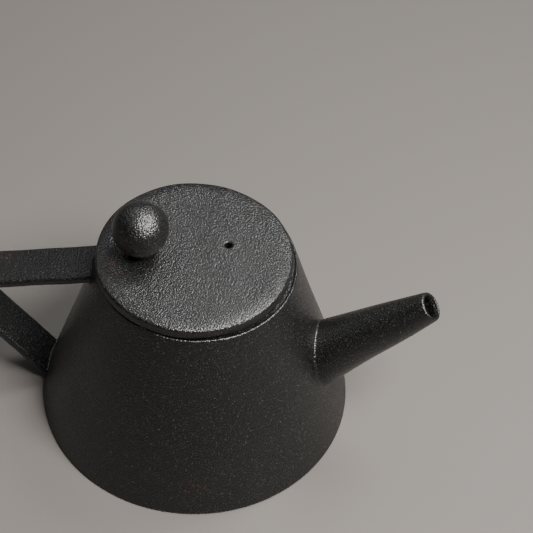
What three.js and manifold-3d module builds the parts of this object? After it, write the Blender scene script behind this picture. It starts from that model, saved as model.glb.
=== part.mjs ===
// A small conical teapot with a flat lid, a ball knob near the lid's edge, a straight spout, a strap
// handle folded to a point, and a strainer basket that hangs in the mouth. Millimetres, +Z up.
// The origin is the centre of the underside. +X runs towards the spout and -X towards the handle.

import * as THREE from "three";
import { mergeVertices } from "three/addons/utils/BufferGeometryUtils.js";
import Module from "manifold-3d";

const wasm = await Module();
wasm.setup();

// ---- Driving dimensions ------------------------------------------------------------------------

const GAP = 0.3; // between two pieces that touch

const BODY = {
  footRadius: 55, // outer radius of the cone at footHeight, its widest
  footHeight: 0.8, // also the rounding of the foot
  rimRadius: 33.3, // outer radius of the cone at the rim
  rimHeight: 68.3,
  rimEdge: 0.5, // rounding of the rim's outer edge
  wall: 3.4, // measured along the radius
  floor: 4.5,
  insideCorner: 6, // rounding between the floor and the wall, inside
  footRing: 44, // inner radius of the ring that it stands on
  gatePad: 14, // radius of the flat pad in the middle of the underside
  recess: 0.8, // depth of the underside between the pad and the ring
  ledgeRadius: 30.6, // recess in the rim for the basket's flange
  ledgeDepth: 1.1,
  mouthRadius: 28.2,
  mouthDepth: 4.5,
  mouthSlope: 3, // height over which the thick mouth thins to the wall
};

const SPOUT = {
  root: new THREE.Vector2(45.2, 31.1), // x and z where its axis meets the outside of the cone
  tip: new THREE.Vector2(78.7, 63.1),
  rootRadius: 10.8,
  tipRadius: 5.1,
  rootBore: 8.2,
  tipBore: 3.4,
  mouthRadius: 4.5, // of the flare that opens the bore at the tip
  mouthDepth: 1.7,
  lip: 0.35, // rounding of the tip's outer edge
  inside: 14, // how far its axis and its bore run on behind the root
};

const HANDLE = {
  thickness: 3.1,
  rootWidth: 15.5,
  pointWidth: 15.9,
  // x and z of the strap's inner faces, with x counted away from the pot's axis
  upperRoot: new THREE.Vector2(34, 58.8),
  point: new THREE.Vector2(82.8, 43.8),
  lowerRoot: new THREE.Vector2(49.6, 1.2),
  fold: 1.6, // inside radius of the fold
  edge: 0.8, // rounding of the strap's edges
};

const LID = {
  radius: 32.8,
  thickness: 4.2,
  topEdge: 1.2, // rounding
  foot: 0.4, // chamfer of the lower edge
  shift: -1.1, // it rests this far towards the handle, within the play of its ring
  turn: THREE.MathUtils.degToRad(6),
  ringRadius: 24.2, // the ring under it that locates it in the basket
  ringWall: 2.2,
  ringDepth: 6.5,
  ringEdge: 0.5,
  ventRadius: 1.4,
  ventReach: 12, // from the lid's centre
  ventAngle: THREE.MathUtils.degToRad(22),
};

const KNOB = {
  radius: 9.25,
  centreHeight: 9.9, // above the lid
  neckRadius: 4.2,
  reach: 17.7, // from the lid's centre, towards the handle
  holeDepth: 7.2,
};

const SCREW = {
  shankRadius: 1.9,
  holeRadius: 2.2,
  length: 10.2, // under its head
  point: 0.6, // chamfer of its end
  headRadius: 3.2,
  headHeight: 2.2,
  headEdge: 0.8, // rounding
  slotWidth: 0.9,
  slotDepth: 1.1,
  washerRadius: 3.6,
  washerThickness: 0.7,
};

const BASKET = {
  sheet: 0.6,
  flangeRadius: 30.2,
  wallTop: 26.6, // outer radius of the wall at the top
  wallBottom: 25.4, // and at the bottom
  bottom: 19, // height of its underside above the table
  collarDepth: 6, // how far the flange's collar grips the wall
  cupDepth: 3, // and the cup under it
  cupOpening: 21.5, // radius of the hole in the cup, under the strainer disc
};

const ROUND = 64; // segments round the large turned pieces
const ROUND_SPOUT = 40;
const ROUND_SMALL = 32;

// ---- Values worked out ---------------------------------------------------------------------------

const bodySlope = (BODY.footRadius - BODY.rimRadius) / (BODY.rimHeight - BODY.footHeight);
const ledgeHeight = BODY.rimHeight - BODY.ledgeDepth;
const flangeHeight = ledgeHeight + GAP; // underside of the basket's flange
const spoutRun = SPOUT.tip.clone().sub(SPOUT.root);
const spoutLength = spoutRun.length();
const spoutLean = spoutRun.angle(); // above the horizontal

// ---- Materials -----------------------------------------------------------------------------------

const castIron = new THREE.MeshStandardMaterial({ color: 0x2b2b2c, roughness: 0.55, metalness: 0.35 });
const stainless = new THREE.MeshStandardMaterial({ color: 0xb9babb, roughness: 0.35, metalness: 1 });
const zincSteel = new THREE.MeshStandardMaterial({ color: 0x8f9194, roughness: 0.4, metalness: 1 });

// ---- Helpers -------------------------------------------------------------------------------------

// A path through [radius, height] corners.
function cornered(...corners) {
  return new THREE.Path(corners.map(([r, z]) => new THREE.Vector2(r, z)));
}

// A path of radius and height turned about +Z. It starts and ends on the axis, or closes on itself.
function turned(path, segments = ROUND, arcSteps = 2) {
  return new THREE.LatheGeometry(path.getPoints(arcSteps), segments).rotateX(Math.PI / 2);
}

// A closed geometry as a solid that can be cut and joined.
function solid(geometry) {
  const bare = geometry.clone();
  bare.deleteAttribute("normal");
  bare.deleteAttribute("uv");
  const merged = mergeVertices(bare, 1e-4);
  const vertProperties = merged.attributes.position.array;
  const triVerts = new Uint32Array(merged.index.array);
  return new wasm.Manifold(new wasm.Mesh({ numProp: 3, vertProperties, triVerts }));
}

// A solid as a geometry.
function geometryOf(made) {
  const { numProp, vertProperties, triVerts } = made.getMesh();
  const geometry = new THREE.BufferGeometry();
  geometry.setAttribute("position", new THREE.BufferAttribute(vertProperties, numProp));
  geometry.setIndex(new THREE.BufferAttribute(triVerts, 1));
  geometry.computeVertexNormals();
  return geometry;
}

function mesh(name, geometry, material) {
  const made = new THREE.Mesh(geometry, material);
  made.name = name;
  return made;
}

// ---- Body ----------------------------------------------------------------------------------------

// Outer radius of the cone at a height.
function coneRadius(height) {
  return BODY.footRadius - bodySlope * (height - BODY.footHeight);
}

// The cone grown by the gap and drawn out at both ends. The spout and the handle are cut back to it.
function coneCutter() {
  const low = -10;
  const high = BODY.rimHeight + 10;
  return solid(
    turned(cornered([0, low], [coneRadius(low) + GAP, low], [coneRadius(high) + GAP, high], [0, high])),
  );
}

// The pot is turned in one piece: stepped underside, cone, ledge in the rim, thick mouth and inside.
function bodyShell() {
  const { footRadius, footHeight, rimRadius, rimHeight, rimEdge, recess, insideCorner } = BODY;
  const mouthBottom = ledgeHeight - BODY.mouthDepth;
  const wallTop = mouthBottom - BODY.mouthSlope;
  const cornerTop = BODY.floor + insideCorner;
  const cornerCentre = coneRadius(cornerTop) - BODY.wall - insideCorner;
  const profile = new THREE.Path()
    .moveTo(0, 0)
    .lineTo(BODY.gatePad, 0)
    .lineTo(BODY.gatePad + recess, recess)
    .lineTo(BODY.footRing - recess, recess)
    .lineTo(BODY.footRing, 0)
    .lineTo(footRadius - footHeight, 0)
    .absarc(footRadius - footHeight, footHeight, footHeight, -Math.PI / 2, 0, false)
    .lineTo(rimRadius, rimHeight - rimEdge)
    .absarc(rimRadius - rimEdge, rimHeight - rimEdge, rimEdge, 0, Math.PI / 2, false)
    .lineTo(BODY.ledgeRadius, rimHeight)
    .lineTo(BODY.ledgeRadius, ledgeHeight)
    .lineTo(BODY.mouthRadius, ledgeHeight)
    .lineTo(BODY.mouthRadius, mouthBottom)
    .lineTo(coneRadius(wallTop) - BODY.wall, wallTop)
    .lineTo(cornerCentre + insideCorner, cornerTop)
    .absarc(cornerCentre, cornerTop, insideCorner, 0, -Math.PI / 2, true)
    .lineTo(0, BODY.floor);
  return solid(turned(profile));
}

// ---- Spout ---------------------------------------------------------------------------------------

// Radius of a cone round the spout's axis, at a distance along it from the root.
function spoutRadius(atRoot, atTip, along) {
  return THREE.MathUtils.mapLinear(along, 0, spoutLength, atRoot, atTip);
}

// A path of radius and distance from the root, turned about the spout's axis.
function aroundSpout(path) {
  const lying = turned(path, ROUND_SPOUT).rotateY(Math.PI / 2 - spoutLean);
  return solid(lying.translate(SPOUT.root.x, 0, SPOUT.root.y));
}

// The bore, from inside the pot to past the tip, where it flares.
function spoutBore() {
  const { rootBore, tipBore, mouthRadius, mouthDepth, inside } = SPOUT;
  const throat = spoutLength - mouthDepth;
  const throatRadius = spoutRadius(rootBore, tipBore, throat);
  const flare = (mouthRadius - throatRadius) / mouthDepth;
  const past = 5;
  return aroundSpout(
    cornered(
      [0, -inside],
      [spoutRadius(rootBore, tipBore, -inside), -inside],
      [throatRadius, throat],
      [mouthRadius + flare * past, spoutLength + past],
      [0, spoutLength + past],
    ),
  );
}

function spoutTube() {
  const { rootRadius, tipRadius, lip, inside } = SPOUT;
  const outside = new THREE.Path()
    .moveTo(0, -inside)
    .lineTo(spoutRadius(rootRadius, tipRadius, -inside), -inside)
    .lineTo(tipRadius, spoutLength - lip)
    .absarc(tipRadius - lip, spoutLength - lip, lip, 0, Math.PI / 2, false)
    .lineTo(0, spoutLength);
  return aroundSpout(outside).subtract(spoutBore()).subtract(coneCutter());
}

// ---- Handle --------------------------------------------------------------------------------------

// The folded strap's side outline, drawn with +X away from the pot: two bars and a round fold.
function handleOutline() {
  const { upperRoot, point, lowerRoot, fold, thickness } = HANDLE;
  const up = upperRoot.clone().sub(point).normalize();
  const down = lowerRoot.clone().sub(point).normalize();
  const centre = up.clone().add(down).normalize(); // from the point into the gap
  centre.multiplyScalar(fold / Math.sin(up.angleTo(down) / 2)).add(point);
  const upperOut = new THREE.Vector2(up.y, -up.x); // across each bar, away from the gap
  const lowerOut = new THREE.Vector2(-down.y, down.x);
  const end = (bar, root, out, radius) =>
    bar.clone().multiplyScalar(root.clone().sub(centre).dot(bar)).addScaledVector(out, radius).add(centre);
  const corners = [
    end(down, lowerRoot, lowerOut, fold),
    end(down, lowerRoot, lowerOut, fold + thickness),
    end(up, upperRoot, upperOut, fold + thickness),
    end(up, upperRoot, upperOut, fold),
  ];
  return new THREE.Shape()
    .moveTo(corners[0].x, corners[0].y)
    .lineTo(corners[1].x, corners[1].y)
    .absarc(centre.x, centre.y, fold + thickness, lowerOut.angle(), upperOut.angle(), false)
    .lineTo(corners[2].x, corners[2].y)
    .lineTo(corners[3].x, corners[3].y)
    .absarc(centre.x, centre.y, fold, upperOut.angle(), lowerOut.angle(), true);
}

// The outline across the pot, with rounded edges. It widens a little from the roots to the point.
function handleStrap() {
  const { edge, rootWidth, pointWidth, upperRoot, point } = HANDLE;
  const strap = new THREE.ExtrudeGeometry(handleOutline(), {
    depth: rootWidth - 2 * edge,
    bevelThickness: edge,
    bevelSize: edge,
    bevelOffset: -edge,
    bevelSegments: 2,
    curveSegments: 6,
  });
  strap.translate(0, 0, edge - rootWidth / 2);
  const at = strap.attributes.position;
  for (let i = 0; i < at.count; i += 1) {
    const width = THREE.MathUtils.mapLinear(at.getX(i), upperRoot.x, point.x, rootWidth, pointWidth);
    at.setZ(i, (at.getZ(i) * width) / rootWidth);
  }
  return solid(strap.rotateX(Math.PI / 2).rotateZ(Math.PI)).subtract(coneCutter());
}

// ---- Lid and knob --------------------------------------------------------------------------------

// The lid's plate and its locating ring. Its origin is the centre of the plate's underside.
function lidPlate() {
  const { radius, thickness, topEdge, foot, ringRadius, ringWall, ringDepth, ringEdge } = LID;
  const profile = new THREE.Path()
    .moveTo(0, 0)
    .lineTo(ringRadius - ringWall, 0)
    .lineTo(ringRadius - ringWall, -ringDepth)
    .lineTo(ringRadius - ringEdge, -ringDepth)
    .lineTo(ringRadius, ringEdge - ringDepth)
    .lineTo(ringRadius, 0)
    .lineTo(radius - foot, 0)
    .lineTo(radius, foot)
    .lineTo(radius, thickness - topEdge)
    .absarc(radius - topEdge, thickness - topEdge, topEdge, 0, Math.PI / 2, false)
    .lineTo(0, thickness);
  const drill = (drillRadius, reach, angle) => {
    const hole = new THREE.CylinderGeometry(drillRadius, drillRadius, 4 * thickness, 24);
    return solid(hole.rotateX(Math.PI / 2).translate(reach, 0, 0).rotateZ(angle));
  };
  return solid(turned(profile))
    .subtract(drill(LID.ventRadius, LID.ventReach, LID.ventAngle))
    .subtract(drill(SCREW.holeRadius, KNOB.reach, Math.PI));
}

// A ball on a short neck, with a blind hole for the screw. Its origin is on the lid's face.
function knobBall() {
  const { radius, centreHeight, neckRadius, holeDepth } = KNOB;
  const neckAngle = Math.asin(neckRadius / radius) - Math.PI / 2;
  const profile = new THREE.Path()
    .moveTo(SCREW.holeRadius, GAP)
    .lineTo(neckRadius, GAP)
    .absarc(0, centreHeight, radius, neckAngle, Math.PI / 2, false)
    .lineTo(0, holeDepth)
    .lineTo(SCREW.holeRadius, holeDepth - SCREW.point)
    .closePath();
  return turned(profile, ROUND_SMALL, 8);
}

function knobWasher() {
  const { holeRadius, washerRadius, washerThickness } = SCREW;
  const low = -GAP - washerThickness;
  return turned(
    cornered([holeRadius, low], [washerRadius, low], [washerRadius, -GAP], [holeRadius, -GAP]).closePath(),
    ROUND_SMALL,
  );
}

// A slotted screw that passes up through the washer and the lid into the knob.
function knobScrew() {
  const { shankRadius, length, point, headRadius, headHeight, headEdge, slotWidth, slotDepth } = SCREW;
  const seat = -2 * GAP - SCREW.washerThickness;
  const face = seat - headHeight;
  const profile = new THREE.Path()
    .moveTo(0, face)
    .lineTo(headRadius - headEdge, face)
    .absarc(headRadius - headEdge, face + headEdge, headEdge, -Math.PI / 2, 0, false)
    .lineTo(headRadius, seat)
    .lineTo(shankRadius, seat)
    .lineTo(shankRadius, seat + length - point)
    .lineTo(shankRadius - point, seat + length)
    .lineTo(0, seat + length);
  const slot = new THREE.BoxGeometry(4 * headRadius, slotWidth, 2 * slotDepth).translate(0, 0, face);
  return solid(turned(profile, ROUND_SMALL)).subtract(solid(slot));
}

// ---- Strainer basket -----------------------------------------------------------------------------

// Outer radius of the basket's wall at a height.
function basketRadius(height) {
  const { bottom, wallBottom, wallTop } = BASKET;
  return THREE.MathUtils.mapLinear(height, bottom, flangeHeight, wallBottom, wallTop);
}

// The flange that hangs on the pot's ledge, and the collar that grips the wall.
function basketRim() {
  const { sheet, flangeRadius, wallTop, collarDepth } = BASKET;
  const inner = wallTop + GAP;
  const low = flangeHeight - collarDepth;
  const top = flangeHeight + sheet;
  return turned(
    cornered(
      [inner, low],
      [inner + sheet, low],
      [inner + sheet, flangeHeight],
      [flangeRadius, flangeHeight],
      [flangeRadius, top],
      [inner, top],
    ).closePath(),
  );
}

function basketWall() {
  const { sheet, bottom } = BASKET;
  const low = bottom + sheet + GAP;
  return turned(
    cornered(
      [basketRadius(low) - sheet, low],
      [basketRadius(low), low],
      [basketRadius(flangeHeight), flangeHeight],
      [basketRadius(flangeHeight) - sheet, flangeHeight],
    ).closePath(),
  );
}

// The cup that holds the foot of the wall. Its middle is open under the strainer disc.
function basketCup() {
  const { sheet, bottom, cupDepth, cupOpening } = BASKET;
  const inner = basketRadius(bottom) + GAP;
  return turned(
    cornered(
      [cupOpening, bottom],
      [inner, bottom],
      [inner + sheet, bottom + sheet],
      [inner + sheet, bottom + cupDepth],
      [inner, bottom + cupDepth],
      [inner, bottom + sheet],
      [cupOpening, bottom + sheet],
    ).closePath(),
  );
}

function strainerDisc() {
  const { sheet, bottom } = BASKET;
  const radius = basketRadius(bottom) - sheet - GAP;
  const low = bottom + sheet + GAP;
  return turned(cornered([0, low], [radius, low], [radius, low + sheet], [0, low + sheet]));
}

// ---- Assembly ------------------------------------------------------------------------------------

const pot = new THREE.Group();
pot.add(mesh("pot_body", geometryOf(bodyShell().subtract(spoutBore())), castIron));
pot.add(mesh("spout", geometryOf(spoutTube()), castIron));
pot.add(mesh("handle", geometryOf(handleStrap()), castIron));

const basket = new THREE.Group();
basket.add(mesh("basket_rim", basketRim(), stainless));
basket.add(mesh("basket_wall", basketWall(), stainless));
basket.add(mesh("basket_cup", basketCup(), stainless));
basket.add(mesh("strainer_disc", strainerDisc(), stainless));

const knob = mesh("lid_knob", knobBall(), castIron);
knob.position.z = LID.thickness;
const knobGroup = new THREE.Group();
knobGroup.position.x = -KNOB.reach;
knobGroup.add(knob);
knobGroup.add(mesh("knob_washer", knobWasher(), zincSteel));
knobGroup.add(mesh("knob_screw", geometryOf(knobScrew()), zincSteel));

const lidGroup = new THREE.Group();
lidGroup.position.set(LID.shift, 0, BODY.rimHeight + GAP);
lidGroup.rotation.z = LID.turn;
lidGroup.add(mesh("lid", geometryOf(lidPlate()), castIron));
lidGroup.add(knobGroup);

const teapot = new THREE.Group();
teapot.add(pot);
teapot.add(basket);
teapot.add(lidGroup);

export default teapot;
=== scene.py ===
"""The looks of a small conical cast iron teapot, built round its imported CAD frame.

Everything is in metres in the frame's own axes: the origin is the centre of the underside, +X runs
towards the spout, -X towards the handle and +Z up. The sizes that other pieces depend on are read
from the frame, and the rest are fields of the class that they belong to.
"""

import logging
import math
from dataclasses import dataclass, field
from enum import Enum
from typing import Any, Callable, Sequence

import bpy
import numpy as np
from mathutils import Matrix, Vector


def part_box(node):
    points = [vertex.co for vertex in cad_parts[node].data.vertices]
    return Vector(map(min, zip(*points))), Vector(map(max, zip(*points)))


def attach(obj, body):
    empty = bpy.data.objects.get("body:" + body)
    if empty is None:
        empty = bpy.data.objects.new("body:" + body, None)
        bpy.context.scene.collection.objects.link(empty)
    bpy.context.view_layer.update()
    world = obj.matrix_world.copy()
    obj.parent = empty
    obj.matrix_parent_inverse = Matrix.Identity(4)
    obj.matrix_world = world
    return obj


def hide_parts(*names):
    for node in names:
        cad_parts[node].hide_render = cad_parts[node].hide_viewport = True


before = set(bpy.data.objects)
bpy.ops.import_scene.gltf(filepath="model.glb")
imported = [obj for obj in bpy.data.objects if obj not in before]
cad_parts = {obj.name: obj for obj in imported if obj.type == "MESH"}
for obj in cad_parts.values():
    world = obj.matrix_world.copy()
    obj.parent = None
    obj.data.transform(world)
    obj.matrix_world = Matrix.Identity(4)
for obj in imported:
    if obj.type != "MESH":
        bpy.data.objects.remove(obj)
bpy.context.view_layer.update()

MM = 0.001
TAU = 2 * math.pi
HUB = 2 * MM  # radius of the first ring round a pole
HAIR = 0.04 * MM  # how deep a weld's edge is sunk in the wall
log = logging.getLogger("teapot")

Array = np.ndarray
Colour = tuple[float, float, float, float]
Range = tuple[float, float]


class Body(str, Enum):
    """The CAD bodies that pieces ride on."""

    POT = "pot"
    INFUSER = "infuser"
    LID = "lid"


class Slot(str, Enum):
    """The record's material slots."""

    CAST_IRON = "cast_iron"
    STAINLESS = "stainless_steel"
    ZINC = "zinc_steel"


# ---- Shader maths --------------------------------------------------------------------------------


class Value:
    """A node socket, or the result of maths on sockets, that Python operators work on."""

    def __init__(self, graph: "Graph", socket: bpy.types.NodeSocket) -> None:
        """Keeps the graph that the socket is in, so that operators can add nodes to it."""
        self.graph = graph
        self.socket = socket

    def _math(self, operation: str, *operands: "Value | float") -> "Value":
        """The result of a Math node on values or numbers, in the order of its inputs."""
        return self.graph.node("ShaderNodeMath", {"operation": operation}, *operands)

    def __add__(self, other: "Value | float") -> "Value":
        """self + other."""
        return self._math("ADD", self, other)

    def __radd__(self, other: float) -> "Value":
        """other + self."""
        return self._math("ADD", other, self)

    def __sub__(self, other: "Value | float") -> "Value":
        """self - other."""
        return self._math("SUBTRACT", self, other)

    def __rsub__(self, other: float) -> "Value":
        """other - self."""
        return self._math("SUBTRACT", other, self)

    def __mul__(self, other: "Value | float") -> "Value":
        """self * other."""
        return self._math("MULTIPLY", self, other)

    def __rmul__(self, other: float) -> "Value":
        """other * self."""
        return self._math("MULTIPLY", other, self)

    def above(self, low: float, high: float) -> "Value":
        """A mask that rises smoothly from 0 where the value is low to 1 where it is high."""
        settings = {"interpolation_type": "SMOOTHSTEP"}
        return self.graph.node("ShaderNodeMapRange", settings, self, low, high, 0.0, 1.0)


class Graph:
    """The node tree of one material."""

    def __init__(self, name: str) -> None:
        """Starts a named material with a Principled BSDF and Object coordinates."""
        self.material = bpy.data.materials.new(name)
        self.material.use_nodes = True
        self.tree = self.material.node_tree
        self.surface = self.tree.nodes["Principled BSDF"]
        self.place = self.node("ShaderNodeTexCoord", {}, output="Object")

    def node(self, kind: str, settings: dict[str, Any], *inputs: Any, output: str | int = 0,
             **named: Any) -> Value:
        """Adds one node.

        Args:
            kind: the node's type.
            settings: the node's properties, which are set before its sockets.
            inputs: values or links of its first sockets, in order. None leaves a socket alone.
            output: the name or number of the output to give back.
            named: values or links of sockets by name, with _ for a space.

        Returns:
            The chosen output.
        """
        made = self.tree.nodes.new(kind)
        for key, value in settings.items():
            setattr(made, key, value)
        for index, value in enumerate(inputs):
            self.feed(made.inputs[index], value)
        for key, value in named.items():
            self.feed(made.inputs[key.replace("_", " ")], value)
        return Value(self, made.outputs[output])

    def feed(self, socket: bpy.types.NodeSocket, value: Any) -> None:
        """Links a value to a socket, or sets the socket to a number or a colour."""
        if isinstance(value, Value):
            self.tree.links.new(value.socket, socket)
        elif value is not None:
            socket.default_value = value

    def noise(self, size: float, detail: float) -> Value:
        """Noise between 0 and 1, with features of a size in metres and octaves of finer detail."""
        return self.node("ShaderNodeTexNoise", {}, self.place, Scale=1 / size, Detail=detail)

    def cells(self, size: float, blend: float) -> Value:
        """Distance from the middle of cells. The size is in metres, and blend softens borders."""
        settings = {"feature": "SMOOTH_F1"}
        return self.node("ShaderNodeTexVoronoi", settings, self.place, Scale=1 / size,
                         Smoothness=blend)

    def mix(self, mask: Value | float, first: Any, second: Any) -> Value:
        """A colour that goes from first to second as the mask goes from 0 to 1."""
        other_types = [None] * 5
        return self.node("ShaderNodeMix", {"data_type": "RGBA"}, mask, *other_types, first, second,
                         output=2)

    def bump(self, height: Value, distance: float, strength: float) -> Value:
        """A normal for a height that runs from 0 to 1 over a distance in metres."""
        return self.node("ShaderNodeBump", {}, Height=height, Distance=distance, Strength=strength,
                         output="Normal")

    def dress(self, **sockets: Any) -> bpy.types.Material:
        """Sets the Principled BSDF's sockets by name and gives the material back."""
        for key, value in sockets.items():
            self.feed(self.surface.inputs[key.replace("_", " ")], value)
        return self.material


def grey(level: float, warmth: float = 0.0) -> Colour:
    """A linear grey, redder and less blue as warmth grows."""
    return (level * (1 + warmth), level, level * (1 - warmth), 1.0)


# ---- Finishes ------------------------------------------------------------------------------------


@dataclass(frozen=True)
class SandCastIron:
    """Matt black iron with the fine even pebbling that a sand mould leaves.

    A range is where a mask begins and where it is full. A cover is how much of a colour a full mask
    lets through.
    """

    name: str = "sand_cast_black_iron"
    pit: Colour = (0.0015, 0.0015, 0.0015, 1.0)
    top: Colour = (0.0045, 0.0044, 0.0042, 1.0)
    # painted highlight: the lighter colour of the glint flecks stands in for light sparkling off
    # them
    painted_glint: Colour = (0.06, 0.06, 0.062, 1.0)
    rust: Colour = (0.07, 0.02, 0.012, 1.0)
    grain: float = 0.57 * MM
    grain_blend: float = 0.1
    grain_depth: float = 0.24 * MM
    sand: float = grain * 0.75
    sand_share: float = 0.3
    top_range: Range = (0.4, 0.62)
    mottle: float = 14 * MM
    mottle_share: float = 0.3
    glints: float = grain * 0.8
    glint_range: Range = (0.68, 0.76)
    painted_glint_cover: float = 0.5
    rust_patch: float = mottle * 1.3
    rust_range: Range = (0.74, 0.8)
    rust_cover: float = 0.7
    roughness: float = 0.28
    roughness_swing: float = 0.12
    ior: float = 1.55

    def make(self) -> bpy.types.Material:
        """Pebbles and sand give the bump. Tops are lighter than pits; a few flecks get a painted
        glint, and a few rust.
        """
        graph = Graph(self.name)
        pebbles = 1 - graph.cells(self.grain, self.grain_blend)
        sand = graph.noise(self.sand, detail=0.0)
        height = pebbles * (1 - self.sand_share) + sand * self.sand_share
        mottle = graph.noise(self.mottle, detail=3.0)
        tops = height.above(*self.top_range)
        glints = graph.noise(self.glints, detail=0.0).above(*self.glint_range)
        rust = glints * graph.noise(self.rust_patch, detail=0.0).above(*self.rust_range)
        shade = (1 - self.mottle_share) + self.mottle_share * mottle
        colour = graph.mix(tops * shade, self.pit, self.top)
        # painted highlight: glint flecks are coloured lighter to stand in for their sparkle; their
        # lower roughness below is real
        colour = graph.mix(glints * self.painted_glint_cover, colour, self.painted_glint)
        colour = graph.mix(rust * self.rust_cover, colour, self.rust)
        swing = self.roughness_swing
        return graph.dress(
            Base_Color=colour, Metallic=0.0, IOR=self.ior,
            Roughness=self.roughness + swing * mottle - swing * glints,
            Normal=graph.bump(height, self.grain_depth, strength=1.0),
        )


@dataclass(frozen=True)
class Stainless:
    """Satin stainless sheet with faint rubbing marks."""

    name: str = "satin_stainless"
    dark: Colour = grey(0.55 * 0.9, 0.01)
    light: Colour = grey(0.55 * 1.05)
    rub: float = 1.2 * MM
    rub_depth: float = 0.01 * MM
    cloud: float = 9 * MM
    roughness: float = 0.3
    cloud_swing: float = 0.14
    rub_swing: float = 0.06

    def make(self) -> bpy.types.Material:
        """Coarse and fine noise vary the roughness, and a faint bump breaks up reflections."""
        graph = Graph(self.name)
        rub = graph.noise(self.rub, detail=3.0)
        cloud = graph.noise(self.cloud, detail=2.0)
        return graph.dress(
            Base_Color=graph.mix(cloud, self.dark, self.light), Metallic=1.0,
            Roughness=self.roughness + self.cloud_swing * cloud + self.rub_swing * rub,
            Normal=graph.bump(rub, self.rub_depth, strength=0.5),
        )


@dataclass(frozen=True)
class ZincPlate:
    """Zinc plate on steel, duller and a little blue, with spangle."""

    name: str = "zinc_plate"
    light: Colour = grey(0.42, -0.02)
    dark: Colour = grey(0.42 * 0.8, -0.03)
    spangle: float = 0.9 * MM
    spangle_blend: float = 0.1
    pimple: float = 0.3 * MM
    pimple_depth: float = 0.01 * MM
    roughness: float = 0.32
    roughness_swing: float = 0.2

    def make(self) -> bpy.types.Material:
        """Cells give the spangle, and a faint bump breaks up reflections."""
        graph = Graph(self.name)
        spangle = graph.cells(self.spangle, self.spangle_blend)
        pimples = graph.noise(self.pimple, detail=2.0)
        return graph.dress(
            Base_Color=graph.mix(spangle, self.light, self.dark), Metallic=1.0,
            Roughness=self.roughness + self.roughness_swing * spangle,
            Normal=graph.bump(pimples, self.pimple_depth, strength=0.5),
        )


@dataclass(frozen=True)
class PaleFloor:
    """A plain pale warm grey studio floor."""

    name: str = "pale_floor"
    dark: Colour = grey(0.098 * 0.97, 0.085)
    light: Colour = grey(0.098, 0.08)
    cloud: float = 120 * MM
    roughness: float = 0.75
    roughness_swing: float = 0.05

    def make(self) -> bpy.types.Material:
        """One colour with the faintest cloud in it."""
        graph = Graph(self.name)
        cloud = graph.noise(self.cloud, detail=2.0)
        return graph.dress(Base_Color=graph.mix(cloud, self.dark, self.light),
                           Roughness=self.roughness + self.roughness_swing * cloud)


# ---- Meshes --------------------------------------------------------------------------------------


class Surface:
    """Vertices and faces of one piece, gathered grid by grid."""

    def __init__(self) -> None:
        """Starts empty."""
        self.points: list[Array] = []
        self.faces: list[Array] = []
        self.count = 0

    def add(self, points: Array) -> Array:
        """Adds points.

        Args:
            points: positions, with x, y and z last.

        Returns:
            The points' numbers, in the same arrangement.
        """
        shape = points.shape[:-1]
        size = int(np.prod(shape))
        self.points.append(points.reshape(size, 3))
        self.count += size
        return np.arange(self.count - size, self.count).reshape(shape)

    def quads(self, lattice: Array, closed: bool = True, skip: Array | None = None) -> None:
        """Fills a lattice of point numbers with quads.

        Faces point outwards where columns go anticlockwise, seen from the end that rows go towards.

        Args:
            lattice: rows by columns of point numbers.
            closed: whether the last column joins the first.
            skip: cells to leave out, as a mask of rows - 1 by columns.
        """
        beside = np.roll(lattice, -1, axis=1)
        cells = np.stack([lattice[:-1], beside[:-1], beside[1:], lattice[1:]], axis=-1)
        if not closed:
            cells = cells[:, :-1]
        keep = np.ones(cells.shape[:2], bool) if skip is None else ~skip
        self.faces.append(cells[keep])

    def cap(self, lattice: Array, tips: Array) -> None:
        """Closes the ends of a lattice with fans, for its poles or flat ends.

        Args:
            lattice: rows by columns of point numbers.
            tips: the points that close the first and the last row.
        """
        for loop, tip in ((lattice[0, ::-1], tips[0]), (lattice[-1], tips[1])):
            middle = np.full(loop.shape, self.add(tip[None])[0])
            self.faces.append(np.stack([loop, np.roll(loop, -1), middle], axis=-1))

    def piece(self, name: str, sharp: float = 38.0) -> bpy.types.Object:
        """Makes the mesh object, without unused points and with points in one place joined.

        Args:
            name: the piece's name.
            sharp: the angle in degrees past which an edge is left sharp.

        Returns:
            The object, at the origin.
        """
        points = np.concatenate(self.points)
        used = np.unique(np.concatenate([faces.ravel() for faces in self.faces]))
        kept, place = np.unique(points[used].round(8), axis=0, return_inverse=True)
        number = np.zeros(len(points), int)
        number[used] = place.ravel()
        lists = [row for faces in self.faces for row in number[faces].tolist()]
        mesh = bpy.data.meshes.new(name)
        mesh.from_pydata(kept.tolist(), [], lists)
        mesh.polygons.foreach_set("use_smooth", np.ones(len(mesh.polygons), bool))
        mesh.set_sharp_from_angle(angle=math.radians(sharp))
        mesh.update()
        made = bpy.data.objects.new(name, mesh)
        bpy.context.scene.collection.objects.link(made)
        return made


class Outline:
    """A run of points drawn with lines and arcs, which are radius and height on a turned piece."""

    def __init__(self, x: float, y: float) -> None:
        """Starts at a point."""
        self.runs: list[Array] = [np.array([[x, y]])]

    def line(self, x: float, y: float, steps: int = 1) -> "Outline":
        """Goes straight to a point, in equal steps."""
        start = self.runs[-1][-1]
        share = np.linspace(0, 1, steps + 1)[1:, None]
        self.runs.append(start + share * (np.array([x, y]) - start))
        return self

    def arc(self, radius: float, start: float, end: float, steps: int = 6) -> "Outline":
        """Goes round an arc whose first point is where the outline is.

        Args:
            radius: the arc's radius.
            start: the direction from its centre to its first point, in degrees.
            end: the direction to its last point.
            steps: the number of chords.

        Returns:
            The outline.
        """
        turn = np.radians(np.linspace(start, end, steps + 1))
        round_centre = radius * np.stack([np.cos(turn), np.sin(turn)], axis=-1)
        self.runs.append(self.runs[-1][-1] + round_centre[1:] - round_centre[0])
        return self

    def points(self) -> Array:
        """All the points so far."""
        return np.concatenate(self.runs)


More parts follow.
